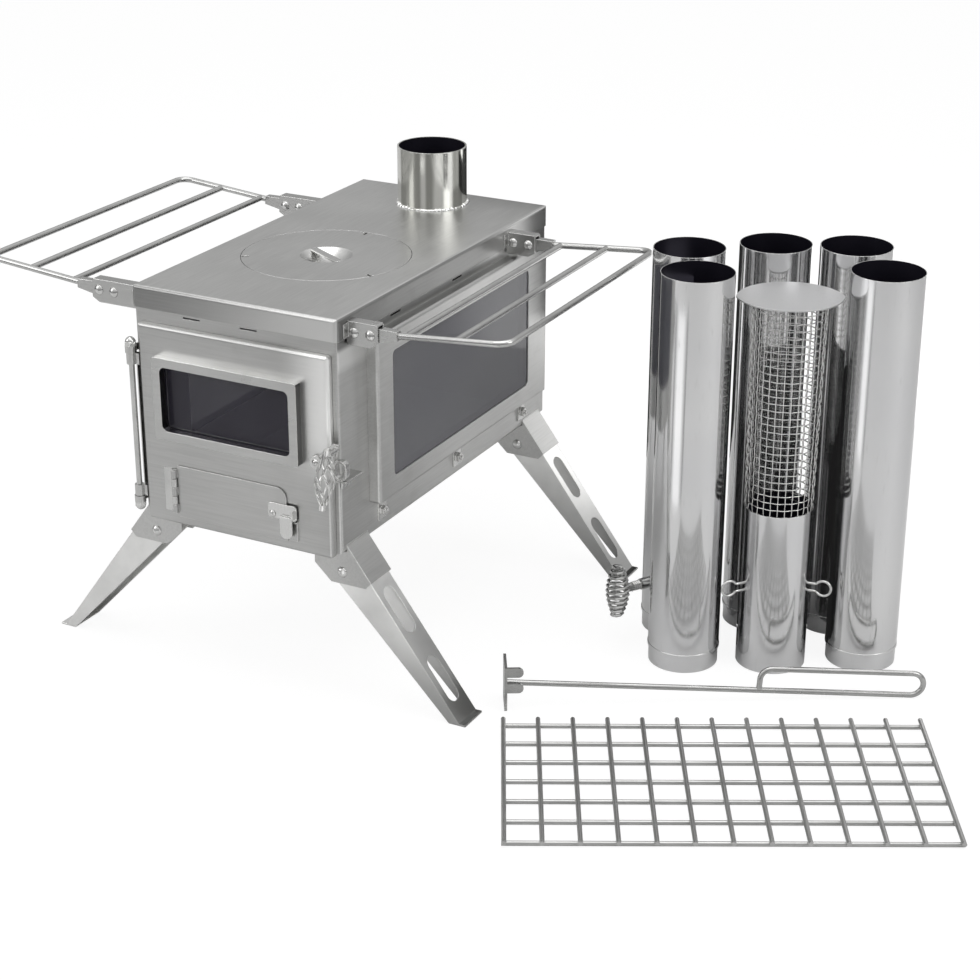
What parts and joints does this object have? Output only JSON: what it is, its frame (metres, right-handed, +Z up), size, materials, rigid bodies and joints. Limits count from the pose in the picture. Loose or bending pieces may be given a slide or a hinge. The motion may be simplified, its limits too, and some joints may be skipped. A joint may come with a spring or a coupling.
{
  "type": "tent wood stove",
  "caption": "Folding steel camp stove with splayed legs, side windows and wire racks, and its flue pipes, spark arrestor, damper, scraper and log grate beside it.",
  "frame": {"origin": "on the floor, below the middle of the firebox", "axes": "+X to the right seen from the door, +Y from the door to the back, +Z up, along the flue collar"},
  "size_m": [0.9142, 0.5275, 0.405],
  "materials": {
    "stainless_sheet": "fine brushed stainless sheet",
    "polished_pipe": "mirror-polished stainless sheet",
    "steel_wire": "drawn stainless wire",
    "fasteners": "bright stainless fasteners",
    "fire_glass": "smoky heat-proof glass"
  },
  "bodies": {
    "root": {"body_shell": "stainless_sheet", "front_panel": "stainless_sheet", "back_panel": "stainless_sheet", "top_plate": "stainless_sheet", "flue_collar": "polished_pipe", "hot_plate_seat": "stainless_sheet", "side_pan_right": "stainless_sheet", "side_pan_left": "stainless_sheet", "side_glass_right": "fire_glass", "side_glass_left": "fire_glass", "side_clips_right": "fasteners", "side_clips_left": "fasteners", "hinge_eyelets": "stainless_sheet", "door_hinge_pin": "steel_wire", "hinge_pin_nuts": "fasteners", "leg_brackets_right": "stainless_sheet", "leg_brackets_left": "stainless_sheet", "leg_pins": "fasteners", "rack_brackets_right": "stainless_sheet", "rack_brackets_left": "stainless_sheet", "rack_pins": "fasteners", "latch_keeper": "stainless_sheet"},
    "hot_plate": {"hot_plate": "stainless_sheet", "hot_plate_bar": "stainless_sheet"},
    "door": {"door_panel": "stainless_sheet", "window_frame": "stainless_sheet", "door_glass": "fire_glass", "glass_retainer": "stainless_sheet", "door_knuckles": "stainless_sheet", "handle_rivet": "fasteners", "hatch_hinge_pin": "steel_wire", "hatch_stop": "stainless_sheet"},
    "door_handle": {"handle_lever": "stainless_sheet", "handle_cage": "steel_wire"},
    "air_hatch": {"air_hatch": "stainless_sheet", "hatch_rivet": "fasteners"},
    "hatch_latch": {"hatch_latch": "stainless_sheet"},
    "leg_front_right": {"leg_front_right": "stainless_sheet"},
    "leg_front_left": {"leg_front_left": "stainless_sheet"},
    "leg_rear_right": {"leg_rear_right": "stainless_sheet"},
    "leg_rear_left": {"leg_rear_left": "stainless_sheet"},
    "rack_right": {"rack_right": "steel_wire", "rack_sleeves_right": "stainless_sheet"},
    "rack_left": {"rack_left": "steel_wire", "rack_sleeves_left": "stainless_sheet"},
    "pipe_front_left": {"pipe_front_left": "polished_pipe"},
    "pipe_front_right": {"pipe_front_right": "polished_pipe"},
    "pipe_back_middle": {"pipe_back_middle": "polished_pipe"},
    "pipe_back_right": {"pipe_back_right": "polished_pipe"},
    "damper_pipe": {"damper_pipe": "polished_pipe"},
    "damper": {"damper_shaft": "steel_wire", "damper_blade": "polished_pipe", "damper_spring": "steel_wire", "damper_grip": "steel_wire"},
    "arrestor": {"arrestor_tube": "polished_pipe", "arrestor_mesh": "steel_wire", "arrestor_cap": "polished_pipe", "guy_loops": "steel_wire"},
    "ash_scraper": {"ash_scraper": "steel_wire"},
    "log_grate": {"log_grate": "steel_wire"}
  },
  "joints": [
    {"name": "hot_plate_lift", "type": "slide", "parent": "root", "child": "hot_plate", "axis": [0, 0, 1], "range_m": [0, 0.1]},
    {"name": "door_swing", "type": "hinge", "parent": "root", "child": "door", "pos_m": [-0.102, -0.197, 0.228], "axis": [0, 0, -1], "range_deg": [0, 120]},
    {"name": "handle_lift", "type": "hinge", "parent": "door", "child": "door_handle", "pos_m": [0.083, -0.1988, 0.226], "axis": [0, -1, 0], "range_deg": [0, 70]},
    {"name": "hatch_swing", "type": "hinge", "parent": "door", "child": "air_hatch", "pos_m": [-0.062, -0.2003, 0.171], "axis": [0, 0, -1], "range_deg": [0, 110]},
    {"name": "hatch_latch_turn", "type": "hinge", "parent": "air_hatch", "child": "hatch_latch", "pos_m": [0.0385, -0.2, 0.171], "axis": [0, -1, 0], "range_deg": [0, 85]},
    {"name": "leg_front_right_fold", "type": "hinge", "parent": "root", "child": "leg_front_right", "pos_m": [0.095, -0.166, 0.121], "axis": [0, 1, 0], "range_deg": [0, 135]},
    {"name": "leg_front_left_fold", "type": "hinge", "parent": "root", "child": "leg_front_left", "pos_m": [-0.095, -0.166, 0.121], "axis": [0, -1, 0], "range_deg": [0, 108]},
    {"name": "leg_rear_right_fold", "type": "hinge", "parent": "root", "child": "leg_rear_right", "pos_m": [0.095, 0.1615, 0.121], "axis": [0, 1, 0], "range_deg": [0, 135]},
    {"name": "leg_rear_left_fold", "type": "hinge", "parent": "root", "child": "leg_rear_left", "pos_m": [-0.095, 0.1615, 0.121], "axis": [0, -1, 0], "range_deg": [0, 108]},
    {"name": "rack_right_fold", "type": "hinge", "parent": "root", "child": "rack_right", "pos_m": [0.1235, -0.03, 0.336], "axis": [0, 1, 0], "range_deg": [0, 95]},
    {"name": "rack_left_fold", "type": "hinge", "parent": "root", "child": "rack_left", "pos_m": [-0.143, -0.03, 0.336], "axis": [0, -1, 0], "range_deg": [0, 95]},
    {"name": "pipe_front_left_lift", "type": "slide", "parent": "root", "child": "pipe_front_left", "axis": [0, 0, 1], "range_m": [0, 0.4]},
    {"name": "pipe_front_right_lift", "type": "slide", "parent": "root", "child": "pipe_front_right", "axis": [0, 0, 1], "range_m": [0, 0.4]},
    {"name": "pipe_back_middle_lift", "type": "slide", "parent": "root", "child": "pipe_back_middle", "axis": [0, 0, 1], "range_m": [0, 0.4]},
    {"name": "pipe_back_right_lift", "type": "slide", "parent": "root", "child": "pipe_back_right", "axis": [0, 0, 1], "range_m": [0, 0.4]},
    {"name": "damper_pipe_lift", "type": "slide", "parent": "root", "child": "damper_pipe", "axis": [0, 0, 1], "range_m": [0, 0.27]},
    {"name": "damper_turn", "type": "hinge", "parent": "damper_pipe", "child": "damper", "pos_m": [0.2915, 0.086, 0.05], "axis": [-0.5045, -0.8634, 0], "range_deg": [0, 90]},
    {"name": "arrestor_lift", "type": "slide", "parent": "root", "child": "arrestor", "axis": [0, 0, 1], "range_m": [0, 0.4]},
    {"name": "scraper_lift", "type": "slide", "parent": "root", "child": "ash_scraper", "axis": [0, 0, 1], "range_m": [0, 0.3]},
    {"name": "log_grate_lift", "type": "slide", "parent": "root", "child": "log_grate", "axis": [0, 0, 1], "range_m": [0, 0.3]}
  ]
}
